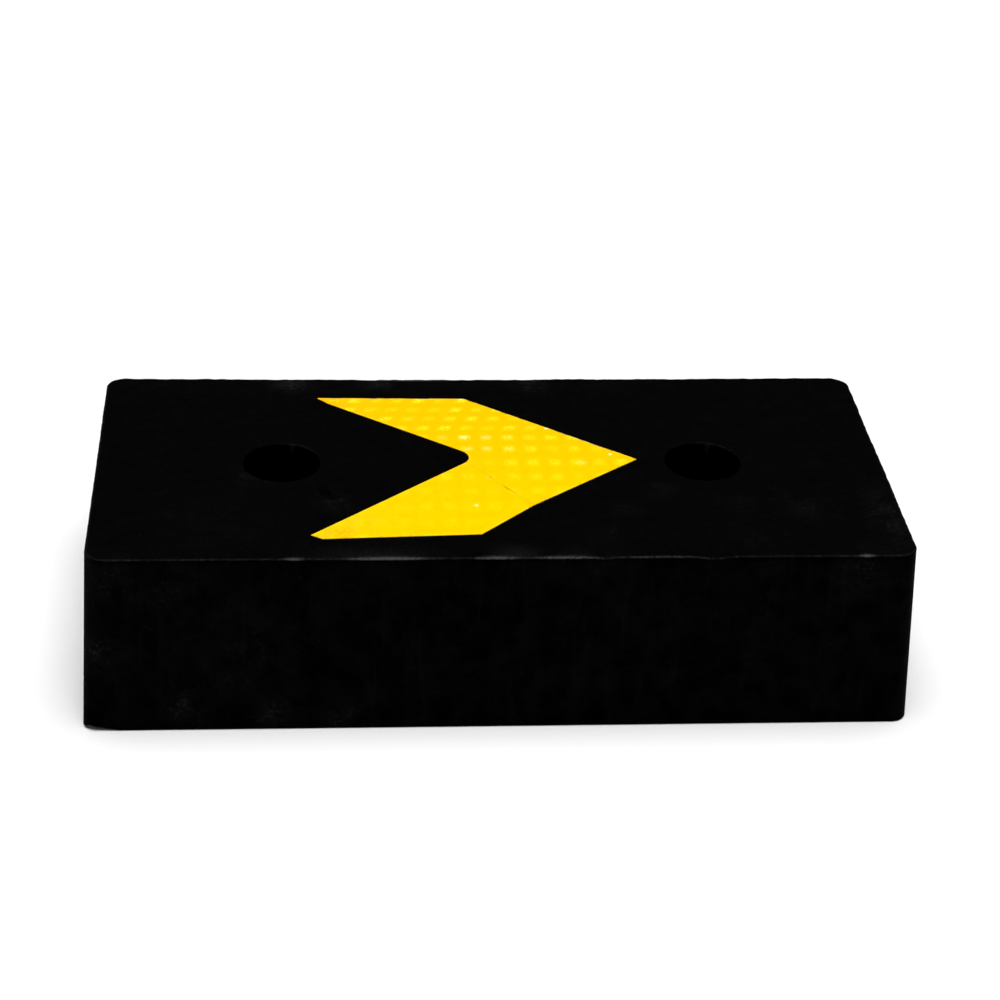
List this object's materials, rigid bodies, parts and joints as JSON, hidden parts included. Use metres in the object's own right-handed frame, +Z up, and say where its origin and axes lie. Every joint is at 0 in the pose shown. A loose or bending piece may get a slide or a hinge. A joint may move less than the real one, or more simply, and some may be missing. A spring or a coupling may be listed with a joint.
{
  "type": "rubber speed bump",
  "caption": "Heavy moulded rubber block with a reflective arrow on top and deep counterbored bolt holes, fastened to a road to slow or part traffic.",
  "frame": {"origin": "middle of the face that rests on the road, on the bottom of the object's box", "axes": "+X along the block, the way the arrow points; +Y across it; +Z up from the road"},
  "size_m": [0.432, 0.208, 0.1003],
  "materials": {
    "rubber": "matt moulded black rubber",
    "reflective_film": "embossed yellow reflective film",
    "zinc_steel": "dull zinc plate"
  },
  "bodies": {
    "root": {"rubber_body": "rubber", "arrow_film_upper": "reflective_film", "arrow_film_lower": "reflective_film", "bearing_washer_left": "zinc_steel", "bearing_washer_right": "zinc_steel", "bolt_sleeve_left": "zinc_steel", "bolt_sleeve_right": "zinc_steel"}
  },
  "joints": []
}
